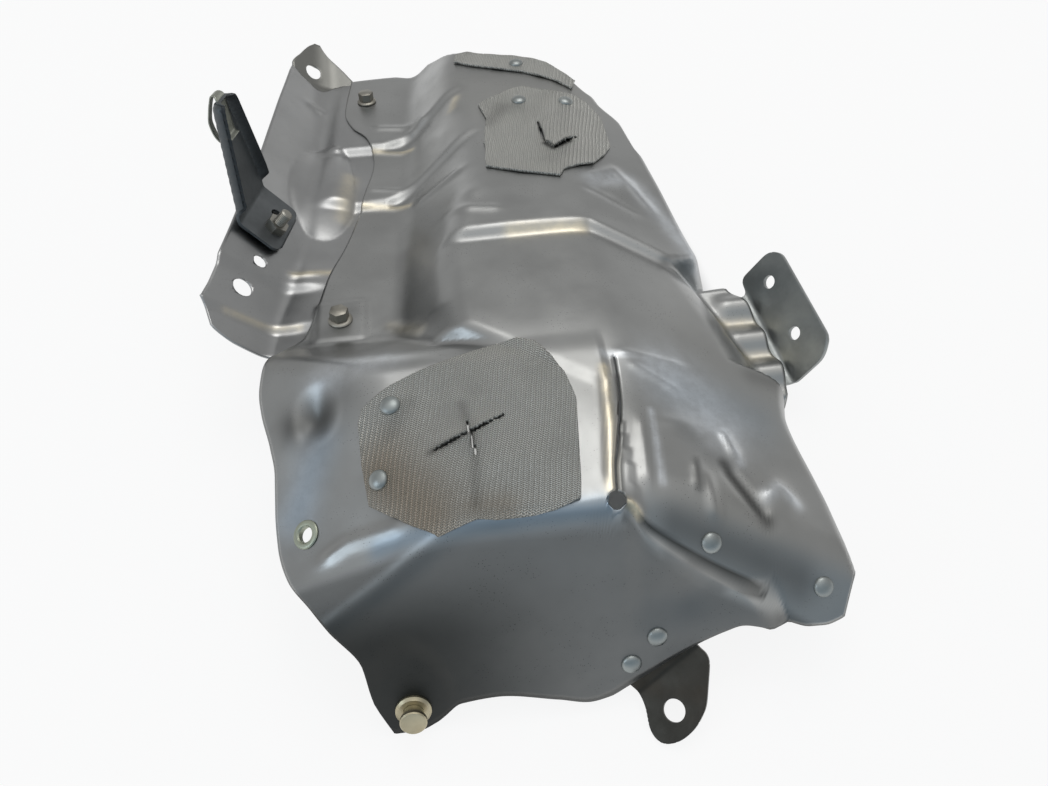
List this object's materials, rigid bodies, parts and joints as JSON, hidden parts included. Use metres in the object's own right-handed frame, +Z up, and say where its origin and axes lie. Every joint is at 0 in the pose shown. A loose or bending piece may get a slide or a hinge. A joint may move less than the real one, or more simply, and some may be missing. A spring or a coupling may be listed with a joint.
{
  "type": "turbocharger heat shield",
  "caption": "Pressed steel heat shield with a domed crown, lapped front corner, side wing, riveted wire mesh patches and bolted brackets.",
  "frame": {"origin": "middle of the bounding box at its bottom", "axes": "+X to the right, +Y away from the front panel along the shield, +Z up"},
  "size_m": [0.2896, 0.4592, 0.1177],
  "materials": {
    "pressed_steel": "satin, dull coated steel",
    "side_steel": "satin, dull coated steel",
    "tab_steel": "satin",
    "plate_steel": "satin",
    "dark_plate": "dull, heat darkened",
    "blue_black_plate": "satin dark coat",
    "spring_steel": "satin",
    "zinc_fastener": "dull zinc",
    "wire_mesh": "woven wire cloth",
    "rivet_steel": "satin",
    "gold_zinc": "dull yellow zinc",
    "green_zinc": "dull green zinc"
  },
  "bodies": {
    "root": {"main_shield": "pressed_steel", "side_shield": "side_steel", "corner_tab": "tab_steel", "right_bracket": "plate_steel", "foot_bracket": "dark_plate", "clip_bracket": "blue_black_plate", "spring_clip": "spring_steel", "bracket_stud": "zinc_fastener", "bracket_nut": "zinc_fastener", "lower_flange_bolt": "zinc_fastener", "upper_flange_bolt": "zinc_fastener", "lower_bolt_nut": "zinc_fastener", "upper_bolt_nut": "zinc_fastener", "large_mesh_patch": "wire_mesh", "middle_mesh_patch": "wire_mesh", "top_mesh_patch": "wire_mesh", "patch_rivets": "rivet_steel", "flap_rivets": "rivet_steel", "foot_bracket_rivets": "rivet_steel", "corner_pin": "gold_zinc", "corner_sleeve": "gold_zinc", "edge_eyelet": "green_zinc"}
  },
  "joints": []
}
